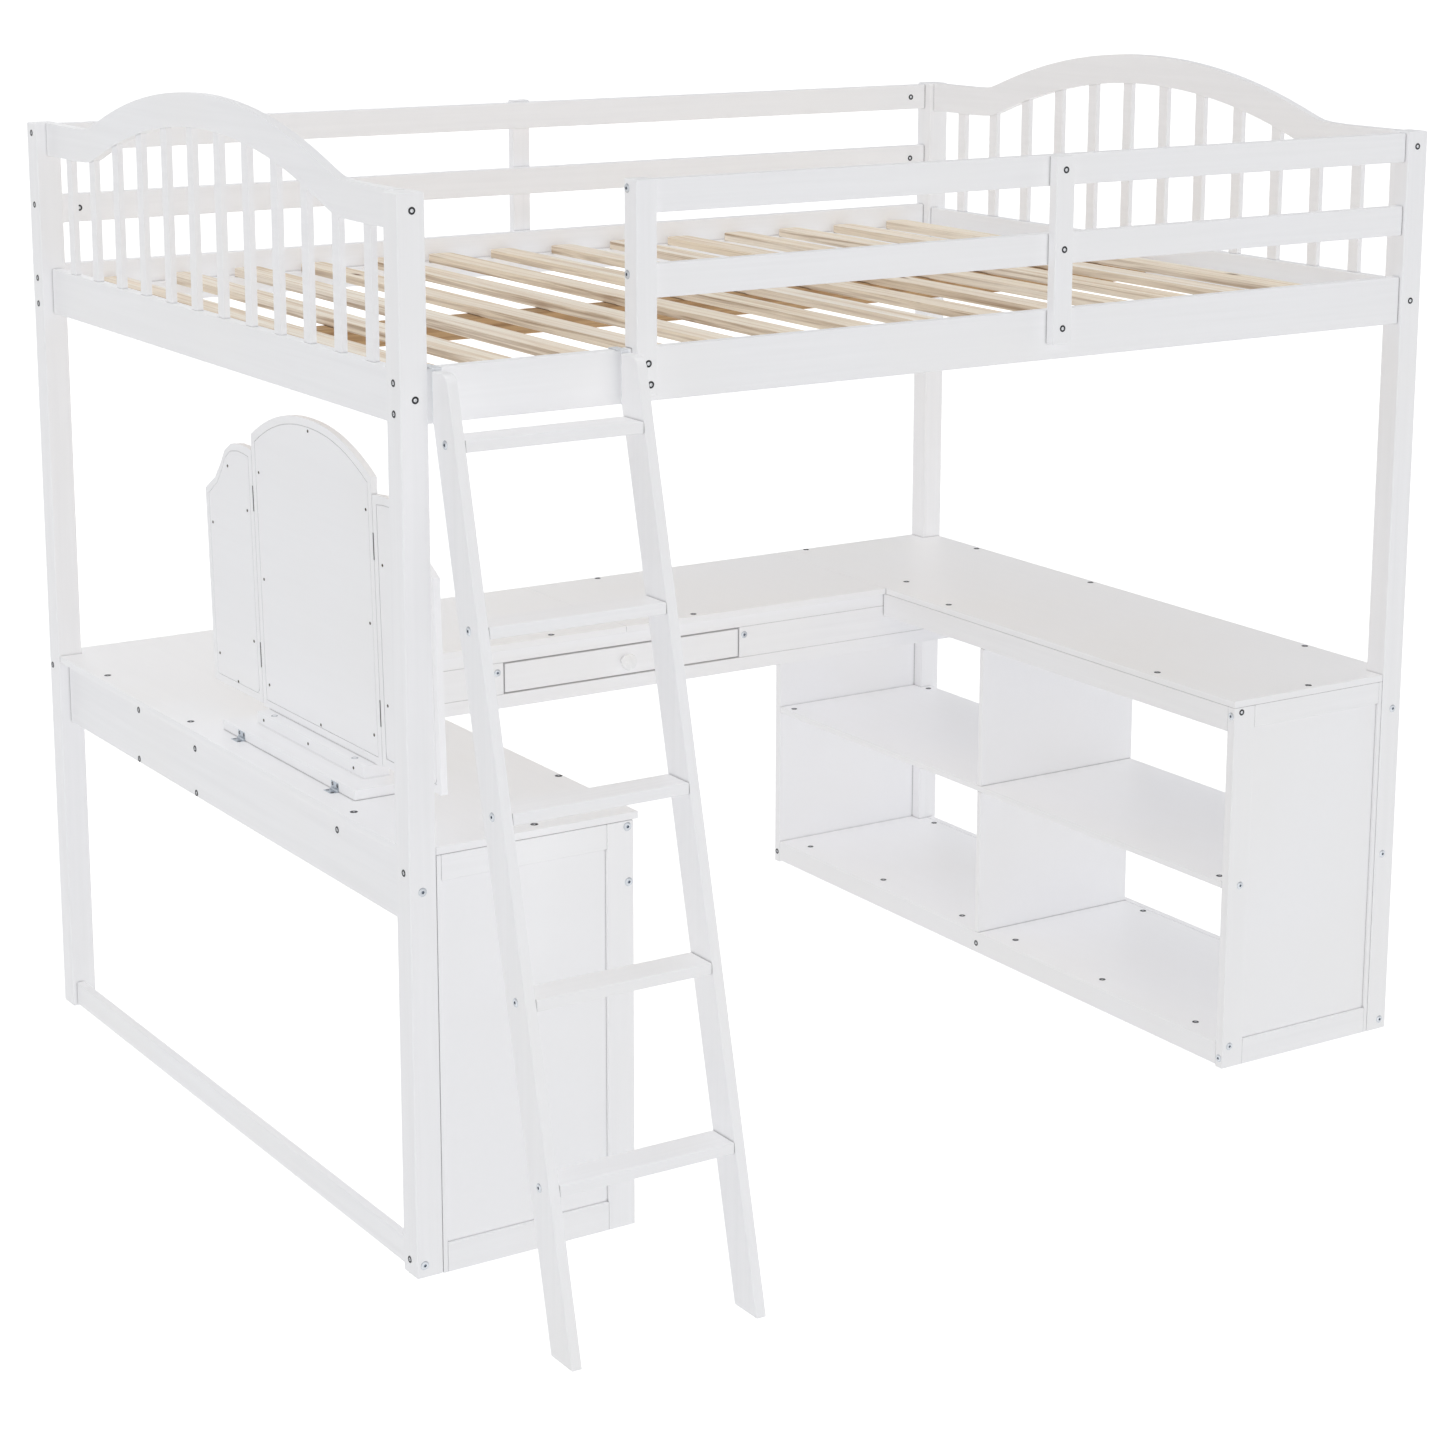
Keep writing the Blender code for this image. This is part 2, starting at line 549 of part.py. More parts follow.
def build_mirror():
    """The mirror stands on a base board that is hinged to the desktop along its back edge."""
    base_z = (DESK_TOP + GAP, DESK_TOP + MIRROR_BASE_THICK)
    middle = (MIRROR_Y[0] + MIRROR_Y[1]) / 2
    tilt = empty("mirror_tilt", (MIRROR_BASE_X[0], middle, DESK_TOP), frame)
    base = board("mirror_base", MIRROR_BASE_X, MIRROR_BASE_Y, base_z, parent=tilt)
    plinth = boards("mirror_plinth", [((PLINTH_X, MIRROR_X + MIRROR_THICK + 0.012), PLINTH_Y,
                                       (base_z[1] - 0.001, MIRROR_BOTTOM - GAP))], tilt)
    combine(base, plinth, "UNION")
    lean = empty("mirror_lean", (MIRROR_X, middle, MIRROR_BOTTOM), tilt)
    lean.rotation_euler.y = -math.radians(MIRROR_LEAN)
    centre = [(MIRROR_Y[1], MIRROR_BOTTOM), (MIRROR_Y[0], MIRROR_BOTTOM)] + mirror_top()
    mirror_leaf("mirror_centre", centre, lean)
    pivot_x = MIRROR_X + MIRROR_THICK + 0.002
    for side, edge, sign in (("left", MIRROR_Y[1], 1), ("right", MIRROR_Y[0], -1)):
        hinge_y = edge + sign * WING_GAP / 2
        hinge = empty("mirror_wing_hinge_" + side, (pivot_x, hinge_y, MIRROR_BOTTOM), lean)
        inner = edge + sign * WING_GAP
        outer = inner + sign * WING_WIDTH
        bottom = MIRROR_BOTTOM + 0.004
        outline = wing_top(inner, outer) + [(outer, bottom), (inner, bottom)]
        mirror_leaf("mirror_wing_" + side, outline, hinge)


clear_scene()
frame = empty("bed_origin", ORIGIN)
build_posts()
build_side_rails()
build_end("left", END_RAIL_INSET, END_RAIL_INSET + RAIL_THICK)
build_end("right", LENGTH - END_RAIL_INSET, LENGTH - END_RAIL_INSET - RAIL_THICK)
build_slats()
build_guards()
build_ladder()
build_desktops()
back_apron_y = build_aprons()
build_drawer(back_apron_y)
build_end_panels()
build_shelf_unit()
build_mirror()
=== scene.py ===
"""The looks of a white loft bed with a U-shaped desk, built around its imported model.

Lengths in the part lists are in millimetres from the bed's front left corner on the floor: x runs to the
right, y to the back and z up. bed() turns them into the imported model's own frame, in metres. Widths given to
soften(), timber() and dress() are in metres, as Blender's modifiers take them.
"""

import math
import random

import bmesh
import bpy
from mathutils import Matrix, Vector


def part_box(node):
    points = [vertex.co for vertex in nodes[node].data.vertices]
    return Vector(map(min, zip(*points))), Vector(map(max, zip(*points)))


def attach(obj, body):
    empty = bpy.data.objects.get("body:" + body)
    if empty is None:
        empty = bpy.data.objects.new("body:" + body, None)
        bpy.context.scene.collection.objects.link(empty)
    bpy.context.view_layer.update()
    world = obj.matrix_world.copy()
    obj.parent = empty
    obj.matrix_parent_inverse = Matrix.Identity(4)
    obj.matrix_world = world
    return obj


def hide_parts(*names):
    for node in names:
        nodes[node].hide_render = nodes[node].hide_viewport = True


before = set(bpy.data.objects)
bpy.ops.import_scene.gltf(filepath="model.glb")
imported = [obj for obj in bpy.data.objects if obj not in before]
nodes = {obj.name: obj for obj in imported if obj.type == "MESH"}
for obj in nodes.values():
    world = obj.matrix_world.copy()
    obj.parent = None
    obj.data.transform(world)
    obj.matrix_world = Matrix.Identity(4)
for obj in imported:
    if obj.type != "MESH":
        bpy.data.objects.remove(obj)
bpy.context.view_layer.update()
CORNER = Vector((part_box("post_front_left")[0].x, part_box("post_front_left")[0].y, 0.0))

LEFT, RIGHT, FRONT, BACK, UP = (Vector(v) for v in ((-1, 0, 0), (1, 0, 0), (0, -1, 0), (0, 1, 0), (0, 0, 1)))


def bed(x, y, z):
    """A point given in bed millimetres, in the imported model's frame."""
    return CORNER + Vector((x, y, z)) / 1000.0


# ---------------------------------------------------------------- camera, floor and light
LENS = 79.75
CAMERA_PLACE = (-3.045, -4.570, 2.112)
CAMERA_PITCH, CAMERA_YAW, CAMERA_ROLL = 12.253, 32.695, 0.114
CAMERA_SHIFT = -0.12
SENSOR_WIDTH = 36.0
SKY_TINT, SKY_STRENGTH = (0.985, 0.992, 1.0, 1.0), 0.47
# Shadowless fill lights, by the side they come from: they open up the shelves, as reflectors do in a studio.
FILLS = {"front": (FRONT, 0.268), "left": (LEFT, 0.216), "top": (UP, 0.275), "right": (RIGHT, 0.225),
         "back": (BACK, 0.225), "below": (-UP, 0.18)}
FILL_SIZE = 60.0                         # degrees across, as the object sees them
FLOOR_PALE, FLOOR_GLOW = 0.50, 0.80
BACKDROP_PALE, BACKDROP_GLOW = 0.10, 1.0
FLOOR_RADIUS, BACKDROP_RADIUS, FLOOR_DROP = 60.0, 59.0, 0.0005


def new_material(name):
    material = bpy.data.materials.new(name)
    material.use_nodes = True
    tree = material.node_tree
    return material, tree, tree.nodes["Principled BSDF"]


def add_node(tree, kind, inputs=None, **settings):
    """A shader node. An input's value is a number, a tuple, or the socket it is linked from."""
    made = tree.nodes.new(kind)
    for key, value in settings.items():
        setattr(made, key, value)
    for key, value in (inputs or {}).items():
        if isinstance(value, bpy.types.NodeSocket):
            tree.links.new(value, made.inputs[key])
        else:
            made.inputs[key].default_value = value
    return made


def build_stage():
    """Camera, even sky, fills, and the white floor and backdrop."""
    scene = bpy.context.scene
    scene.view_settings.view_transform = "Standard"
    camera = bpy.data.objects.new("camera", bpy.data.cameras.new("camera"))
    scene.collection.objects.link(camera)
    camera.location = CAMERA_PLACE
    turn = Matrix.Rotation(-math.radians(CAMERA_YAW), 3, "Z") @ Matrix.Rotation(
        math.radians(90 - CAMERA_PITCH), 3, "X") @ Matrix.Rotation(math.radians(CAMERA_ROLL), 3, "Z")
    camera.rotation_euler = turn.to_euler()
    camera.data.lens = LENS
    camera.data.sensor_width = SENSOR_WIDTH
    camera.data.shift_y = CAMERA_SHIFT
    camera.data.clip_end = 200.0
    scene.camera = camera

    world = bpy.data.worlds.new("studio")
    world.use_nodes = True
    sky = world.node_tree.nodes["Background"]
    sky.inputs["Color"].default_value = SKY_TINT
    sky.inputs["Strength"].default_value = SKY_STRENGTH
    scene.world = world

    floor = stage_piece("floor", FLOOR_PALE, FLOOR_GLOW)
    bm = bmesh.new()
    bmesh.ops.create_circle(bm, cap_ends=True, segments=64, radius=FLOOR_RADIUS)
    bm.to_mesh(floor.data)
    floor.location.z = -FLOOR_DROP
    backdrop = stage_piece("backdrop", BACKDROP_PALE, BACKDROP_GLOW)
    bm = bmesh.new()
    bmesh.ops.create_uvsphere(bm, u_segments=48, v_segments=24, radius=BACKDROP_RADIUS)
    bm.to_mesh(backdrop.data)
    backdrop.visible_glossy = False

    for side, (direction, strength) in FILLS.items():
        fill = bpy.data.objects.new("fill_" + side, bpy.data.lights.new("fill_" + side, "SUN"))
        fill.data.energy = strength * math.pi
        fill.data.angle = math.radians(FILL_SIZE)
        fill.data.use_shadow = False
        fill.rotation_euler = (-direction).to_track_quat("-Z", "Y").to_euler()
        scene.collection.objects.link(fill)


def stage_piece(name, pale, glow):
    """White paper of the studio: it is seen, but leaves the lighting of the bed to the lamps."""
    piece = bpy.data.objects.new(name, bpy.data.meshes.new(name))
    bpy.context.scene.collection.objects.link(piece)
    material, tree, shader = new_material(name)
    shader.inputs["Base Color"].default_value = (pale, pale, pale, 1)
    shader.inputs["Roughness"].default_value = 1.0
    shader.inputs["Specular IOR Level"].default_value = 0.0
    shader.inputs["Emission Color"].default_value = (1, 1, 1, 1)
    shader.inputs["Emission Strength"].default_value = glow
    piece.data.materials.append(material)
    piece.visible_diffuse = False
    piece.visible_shadow = False
    return piece


# ---------------------------------------------------------------- materials
def object_place(tree):
    return add_node(tree, "ShaderNodeTexCoord").outputs["Object"]


def stretched_noise(tree, place, along, fine, coarse, detail=4.0, rough=0.6, distortion=0.0):
    """Noise drawn out along one axis, as the grain of a board is."""
    scale = [fine, fine, fine]
    scale[along] = coarse
    mapped = add_node(tree, "ShaderNodeMapping", {"Vector": place, "Scale": scale})
    return add_node(tree, "ShaderNodeTexNoise", {"Vector": mapped.outputs["Vector"], "Scale": 1.0,
                    "Detail": detail, "Roughness": rough, "Distortion": distortion}).outputs["Fac"]


def ramp(tree, factor, stops):
    """A colour picked from (place, colour) stops."""
    made = add_node(tree, "ShaderNodeValToRGB", {"Fac": factor})
    band = made.color_ramp
    while len(band.elements) < len(stops):
        band.elements.new(0.5)
    for element, (place, colour) in zip(band.elements, stops):
        element.position = place
        element.color = (*colour, 1.0)
    return made.outputs["Color"]


def blend_colours(tree, factor, low, high):
    """From colour low to colour high; each may be a socket or a tuple."""
    made = add_node(tree, "ShaderNodeMix", data_type="RGBA")
    for index, value in ((0, factor), (6, low), (7, high)):
        if isinstance(value, bpy.types.NodeSocket):
            tree.links.new(value, made.inputs[index])
        else:
            made.inputs[index].default_value = value if index == 0 else (*value, 1.0)
    return made.outputs[2]


def spread(tree, value, low, high, start=0.3, end=0.7):
    """Map a value that runs from start to end onto low to high."""
    return add_node(tree, "ShaderNodeMapRange", {"Value": value, "From Min": start, "From Max": end,
                    "To Min": low, "To Max": high}).outputs["Result"]


def bumps(tree, shader, layers):
    """Stack height maps: each layer is (height socket, depth in metres, strength)."""
    normal = None
    for height, depth, strength in layers:
        made = add_node(tree, "ShaderNodeBump", {"Height": height, "Distance": depth, "Strength": strength})
        if normal is not None:
            tree.links.new(normal, made.inputs["Normal"])
        normal = made.outputs["Normal"]
    tree.links.new(normal, shader.inputs["Normal"])


def painted_crevice_shade(tree, colour, shade, reach=0.006):
    """Painted shade: darken a colour where another surface stands close, so the joints between boards read as fine
    lines.
    """
    open_share = add_node(tree, "ShaderNodeAmbientOcclusion", {"Distance": reach}, samples=8).outputs["AO"]
    return blend_colours(tree, spread(tree, open_share, 0.0, 1.0, 0.12, 0.80), shade, colour)


def painted(name, along, tone=(0.928, 0.928, 0.945), grain=1.0, gloss=0.38):
    """White paint over wood: the grain just telegraphs through, with a fine sprayed texture on top."""
    material, tree, shader = new_material(name)
    place = object_place(tree)
    fibres = stretched_noise(tree, place, along, 95.0, 2.4, 5.0, 0.62, 0.4)
    mottle = add_node(tree, "ShaderNodeTexNoise", {"Vector": place, "Scale": 2.7, "Detail": 3.0}).outputs["Fac"]
    peel = add_node(tree, "ShaderNodeTexNoise", {"Vector": place, "Scale": 520.0, "Detail": 2.0}).outputs["Fac"]
    dull = tuple(c * (1 - 0.030 * grain) for c in tone)
    warm = tuple(c * f for c, f in zip(tone, (0.990, 0.985, 0.970)))
    colour = blend_colours(tree, spread(tree, fibres, 0.0, 1.0, 0.30, 0.62), dull, tone)
    colour = blend_colours(tree, spread(tree, mottle, 0.0, 0.7, 0.42, 0.66), colour, warm)
    # Painted shade in the joints and inside corners of the paint.
    colour = painted_crevice_shade(tree, colour, tuple(c * 0.54 for c in tone))
    tree.links.new(colour, shader.inputs["Base Color"])
    tree.links.new(spread(tree, fibres, gloss + 0.10, gloss - 0.03), shader.inputs["Roughness"])
    shader.inputs["Specular IOR Level"].default_value = 0.42
    bumps(tree, shader, [(fibres, 0.00035 * grain, 0.5), (peel, 0.00006, 0.35)])
    return material


def pine(name, along, lots, streak, streaks=0.7, knots=0.8):
    """Bare pine: each board of its own tone, with long streaks, and here and there a knot."""
    material, tree, shader = new_material(name)
    place = object_place(tree)
    lot = add_node(tree, "ShaderNodeAttribute", attribute_name="lot").outputs["Fac"]
    offset = add_node(tree, "ShaderNodeCombineXYZ", {"X": lot, "Y": lot, "Z": lot}).outputs["Vector"]
    moved = add_node(tree, "ShaderNodeVectorMath", {0: place, 1: offset}, operation="ADD").outputs["Vector"]
    rings = stretched_noise(tree, moved, along, 62.0, 1.1, 3.0, 0.62, 1.2)
    fibres = stretched_noise(tree, moved, along, 620.0, 7.0, 4.0, 0.65)
    slow = stretched_noise(tree, moved, along, 16.0, 0.9, 2.0, 0.5)
    drawn = add_node(tree, "ShaderNodeTexWhiteNoise", {"W": lot}, noise_dimensions="1D").outputs["Value"]
    step = 1.0 / (len(lots) - 1)
    tone = ramp(tree, drawn, [(index * step, colour) for index, colour in enumerate(lots)])
    tone = blend_colours(tree, spread(tree, slow, 0.0, 0.7, 0.40, 0.64), tone, lots[-1])
    tone = blend_colours(tree, spread(tree, rings, streaks, 0.0, 0.34, 0.54), tone, streak)
    tone = blend_colours(tree, spread(tree, fibres, 0.25, 0.0, 0.35, 0.6), tone, streak)
    scale = [14.0 + 10.0 * knots] * 3
    scale[along] = 4.0 + 3.0 * knots
    cells = add_node(tree, "ShaderNodeMapping", {"Vector": moved, "Scale": scale}).outputs["Vector"]
    knot = add_node(tree, "ShaderNodeTexVoronoi", {"Vector": cells, "Scale": 1.0})
    picked = add_node(tree, "ShaderNodeSeparateColor", {"Color": knot.outputs["Color"]}).outputs["Red"]
    rare = 1.0 - knots * 0.4
    picked = spread(tree, picked, 0.0, 1.0, rare, rare + 0.02)
    core = spread(tree, knot.outputs["Distance"], 1.0, 0.0, 0.04, 0.14)
    mark = add_node(tree, "ShaderNodeMath", {0: picked, 1: core}, operation="MULTIPLY").outputs["Value"]
    tone = blend_colours(tree, mark, tone, (0.20, 0.10, 0.045))
    # Painted shade where the pine meets other surfaces.
    tone = painted_crevice_shade(tree, tone, tuple(c * 0.35 for c in streak))
    tree.links.new(tone, shader.inputs["Base Color"])
    tree.links.new(spread(tree, fibres, 0.72, 0.54), shader.inputs["Roughness"])
    shader.inputs["Specular IOR Level"].default_value = 0.3
    bumps(tree, shader, [(rings, 0.0005, 0.4), (fibres, 0.0002, 0.6)])
    return material


# Painted shade: the fittings' colour darkens near what they are fixed to.
METAL_REACH = 0.02                       # metres over which a fitting darkens towards what it is fixed to


def metal(name, tone, rough, metallic=1.0, crevice=0.25):
    """A fitting's metal, a little cloudy, with painted shade beside its neighbours; the last argument sets how dark
    that painted shade goes.
    """
    material, tree, shader = new_material(name)
    place = object_place(tree)
    cloud = add_node(tree, "ShaderNodeTexNoise", {"Vector": place, "Scale": 160.0, "Detail": 3.0}).outputs["Fac"]
    fine = add_node(tree, "ShaderNodeTexNoise", {"Vector": place, "Scale": 900.0, "Detail": 2.0}).outputs["Fac"]
    dark = tuple(c * 0.80 for c in tone)
    colour = blend_colours(tree, spread(tree, cloud, 0.0, 1.0), dark, tone)
    shade = tuple(c * crevice for c in tone)
    # Painted shade beside what the fitting is fixed to.
    tree.links.new(painted_crevice_shade(tree, colour, shade, METAL_REACH), shader.inputs["Base Color"])
    tree.links.new(spread(tree, fine, rough - 0.05, rough + 0.10), shader.inputs["Roughness"])
    shader.inputs["Metallic"].default_value = metallic
    bumps(tree, shader, [(cloud, 0.00008, 0.3)])
    return material


def silvered(name):
    """Mirror glass with the faintest haze."""
    material, tree, shader = new_material(name)
    place = object_place(tree)
    haze = add_node(tree, "ShaderNodeTexNoise", {"Vector": place, "Scale": 9.0, "Detail": 4.0}).outputs["Fac"]
    tree.links.new(blend_colours(tree, haze, (0.66, 0.69, 0.71), (0.74, 0.77, 0.79)),
                   shader.inputs["Base Color"])
    tree.links.new(spread(tree, haze, 0.012, 0.035), shader.inputs["Roughness"])
    shader.inputs["Metallic"].default_value = 1.0
    return material


PAINT = {axis: painted("white_paint_" + axis, "xyz".index(axis)) for axis in "xyz"}
BOARD_PAINT = painted("white_paint_board", 1, grain=0.25, gloss=0.36)
KNOB_PAINT = painted("knob_paint_gloss", 1, (0.905, 0.908, 0.915), 0.1, 0.22)
PINE_TOP = pine("pine_face", 1, [(0.95, 0.91, 0.83), (0.93, 0.84, 0.69), (0.97, 0.95, 0.90), (0.91, 0.80, 0.66)],
                (0.66, 0.50, 0.34), 0.80, 0.55)
# Side faces of the slats: darker as sawn wood, and partly as painted shade.
PINE_SIDE_SAWN_AND_SHADED = pine("pine_edge_sawn_and_shaded", 1, [(0.90, 0.81, 0.69), (0.94, 0.87, 0.77), (0.82, 0.71, 0.58), (0.88, 0.75, 0.58)],
                 (0.38, 0.25, 0.15), 0.90, 1.0)
PINE_BEAM = pine("pine_beam", 0, [(0.58, 0.40, 0.22), (0.50, 0.31, 0.15)], (0.26, 0.14, 0.06), 0.8, 0.9)
PINE_BOX = pine("pine_drawer", 0, [(0.86, 0.76, 0.62), (0.84, 0.70, 0.53)], (0.66, 0.49, 0.33), 0.6, 0.5)
ZINC = metal("zinc", (0.62, 0.65, 0.69), 0.34)
# Pale zinc for the hooks and the ringed heads' centres; its pale diffuse tone partly paints the reflection of the
# white surroundings.
PALE_ZINC = metal("pale_zinc", (0.86, 0.88, 0.91), 0.50, metallic=0.7, crevice=0.75)
BRIGHT_ZINC = metal("bright_zinc", (0.62, 0.67, 0.73), 0.32, crevice=0.6)
# Dark blue-grey zinc, used only as painted shade inside the sockets and cross recesses of the heads.
ZINC_SOCKET_SHADE = metal("zinc_socket_painted_shade", (0.20, 0.24, 0.30), 0.38)
# Blackened steel, also used as painted shade round the ringed heads, in sockets and recesses, and in the mirror's
# hinge slots.
BLACK_STEEL_AND_SHADE = metal("blackened_steel_and_painted_shade", (0.035, 0.036, 0.040), 0.42, metallic=0.6)
BRONZED = metal("bronzed_steel", (0.085, 0.068, 0.050), 0.45, metallic=0.7)
MIRROR = silvered("silvered_glass")


# ---------------------------------------------------------------- carried-over CAD nodes
def soften(piece, width, segments=2, angle=32.0, dissolve=True):
    """Round a piece's edges by modifiers: its own mesh stays as it is."""
    weld = piece.modifiers.new("weld", "WELD")
    weld.merge_threshold = 0.00002
    if dissolve:
        flat = piece.modifiers.new("dissolve", "DECIMATE")
        flat.decimate_type = "DISSOLVE"
        flat.angle_limit = math.radians(0.3)
    bevel = piece.modifiers.new("bevel", "BEVEL")
    bevel.width = width
    bevel.segments = segments
    bevel.limit_method = "ANGLE"
    bevel.angle_limit = math.radians(angle)
    bevel.use_clamp_overlap = True
    bevel.harden_normals = False
    smooth = piece.modifiers.new("normals", "WEIGHTED_NORMAL")
    smooth.weight = 60
    smooth.keep_sharp = True
    piece.data.shade_smooth()


def dress(names, material, width, segments=2, dissolve=True):
    """Give CAD nodes their material and rounded edges; names are parted by spaces."""
    for name in names.split():
        piece = nodes[name]
        piece.data.materials.clear()
        piece.data.materials.append(material)
        soften(piece, width, segments, dissolve=dissolve)


dress("post_front_left post_front_right post_back_left post_back_right", PAINT["z"], 0.0030, segments=3)
dress("side_rail_front side_rail_back guard_top_rail_front guard_middle_rail_front guard_top_rail_back "
      "guard_middle_rail_back slat_ledger_front slat_ledger_back desk_back_rail", PAINT["x"], 0.0020)
dress("guard_gate_post guard_board_front guard_board_back ladder_stile_left ladder_stile_right", PAINT["z"], 0.0022)
dress("end_rail_left end_rail_right apron_outer_left apron_outer_right apron_inner_left apron_inner_right "
      "floor_stretcher_left floor_stretcher_right", PAINT["y"], 0.0020)
dress("arched_rail_left arched_rail_right", PAINT["y"], 0.0018, dissolve=False)
dress("ladder_rung_1 ladder_rung_2 ladder_rung_3 ladder_rung_4 ladder_rung_5", PAINT["x"], 0.0022)
dress("desktop_left desktop_right shelf_middle shelf_bottom_board", BOARD_PAINT, 0.0010)
dress("desktop_back_left desktop_back_right", BOARD_PAINT, 0.0010)
dress("shelf_divider_lower shelf_divider_upper unit_back_panel", BOARD_PAINT, 0.0008)
dress("drawer_front", PAINT["x"], 0.0016)
dress("drawer_knob", KNOB_PAINT, 0.0004)
dress("drawer_box drawer_runner_left drawer_runner_right", PINE_BOX, 0.0008)
dress("mirror_base mirror_centre_frame mirror_wing_left_frame mirror_wing_right_frame", BOARD_PAINT, 0.0010)
dress("mirror_centre_glass mirror_wing_left_glass mirror_wing_right_glass", MIRROR, 0.0006)


# ---------------------------------------------------------------- new pieces
def link(name, bm, materials, body):
    """Make a bmesh into a piece that rides on a body."""
    mesh = bpy.data.meshes.new(name)
    bmesh.ops.recalc_face_normals(bm, faces=bm.faces)
    bm.to_mesh(mesh)
    bm.free()
    for material in materials:
        mesh.materials.append(material)
    piece = bpy.data.objects.new(name, mesh)
    bpy.context.scene.collection.objects.link(piece)
    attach(piece, body)
    return piece


def add_block(bm, low, high):
    """A block between two corners."""
    place = Matrix.Translation((low + high) / 2) @ Matrix.Diagonal((*(high - low), 1.0))
    bmesh.ops.create_cube(bm, size=1.0, matrix=place)


def set_lot(bm, value):
    """Number a board, so that the pine draws its own tone and streaks for it."""
    lot = bm.verts.layers.float.new("lot")
    for vert in bm.verts:
        vert[lot] = value


def timber(name, x, y, z, material, body, stands_for, width=0.0018):
    """One board of a part that the CAD has as a whole, between two corners in bed millimetres."""
    bm = bmesh.new()
    add_block(bm, bed(x[0], y[0], z[0]), bed(x[1], y[1], z[1]))
    piece = link(name, bm, [material], body)
    soften(piece, width, dissolve=False)
    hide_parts(stands_for)
    return piece


def build_slats():
    """Fourteen separate slats with planed faces and darker sawn edges, over the centre beam; the edges' darker tone
    is partly painted shade.
    """
    count, pitch, first, wide = 14, 134.0, 103.0, 52.0
    front, back, under, top = 35, 1405, 1348.5, 1364
    corner = 0.0140
    draw = random.Random(4)
    for index in range(count):
        x = first + index * pitch
        trim = draw.uniform(0.0, 2.5)
        thin = draw.uniform(0.0, 0.9)
        bm = bmesh.new()
        low = bed(x + draw.uniform(0, 0.8), front + trim, under)
        high = bed(x + wide - draw.uniform(0, 0.8), back - draw.uniform(0, 2.5), top - thin)
        add_block(bm, low, high)
        bmesh.ops.recalc_face_normals(bm, faces=bm.faces)
        ends = [e for e in bm.edges if abs((e.verts[0].co - e.verts[1].co).z) > 0.01]
        bmesh.ops.bevel(bm, geom=ends, offset=corner, segments=6, profile=0.5, affect="EDGES")
        bmesh.ops.recalc_face_normals(bm, faces=bm.faces)
        set_lot(bm, index * 3.7 + 0.5)
        for face in bm.faces:
            # Tops take the planed pine; sides take the darker pine, which is partly painted shade.
            face.material_index = 0 if abs(face.normal.z) > 0.7 else 1
        piece = link("slat_%02d" % (index + 1), bm, [PINE_TOP, PINE_SIDE_SAWN_AND_SHADED], "bed")
        soften(piece, 0.0012, dissolve=False)
        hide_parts("slat_deck")
    bm = bmesh.new()
    add_block(bm, bed(39.3, 695, 1312), bed(1960.7, 745, 1348.3))
    set_lot(bm, 60.5)
    beam = link("slat_centre_beam", bm, [PINE_BEAM], "bed")
    soften(beam, 0.0020, dissolve=False)
    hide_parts("slat_deck")


def build_back_apron():
    """The apron in front of the back desk is made up round the drawer opening."""
    y = (1052, 1070)
    parts = {"top_rail": ((39.3, 1960.7), (638.2, 663.7)), "bottom_rail": ((39.3, 1960.7), (550, 577)),
             "infill_left": ((39.3, 737), (577.2, 638)), "infill_right": ((1261, 1960.7), (577.2, 638))}
    for name, (x, z) in parts.items():
        timber("apron_back_" + name, x, y, z, PAINT["x"], "bed", "apron_back_desk", 0.0012)


def build_front_panel(side, x, field, y):
    """A frame of stiles and rails round a sunk panel."""
    low, high, top, sink = 47.0, 624.5, 663.7, 6.0
    node = "front_panel_" + side
    for name, edge in (("left", (x[0], field[0])), ("right", (field[1], x[1]))):
        timber(f"{node}_stile_{name}", edge, y, (0, top), PAINT["z"], "bed", node, 0.0012)
    for name, band in (("bottom", (0, low)), ("top", (high, top))):
        timber(f"{node}_rail_{name}", (field[0] + 0.2, field[1] - 0.2), y, band, PAINT["x"], "bed", node, 0.0012)
    timber(f"{node}_field", (field[0] + 0.1, field[1] - 0.1), (y[0] + sink, y[1]), (low + 0.1, high - 0.1),
           BOARD_PAINT, "bed", node, 0.0006)


# ---------------------------------------------------------------- bolts and screws
SIDES = 24


def round_shape(angle):
    return 1.0


def hexagon(angle):
    sector = math.pi / 3
    return math.cos(sector / 2) / math.cos(angle % sector - sector / 2)


def cross(angle):
    return 0.30 + 0.70 * abs(math.cos(2 * angle)) ** 3


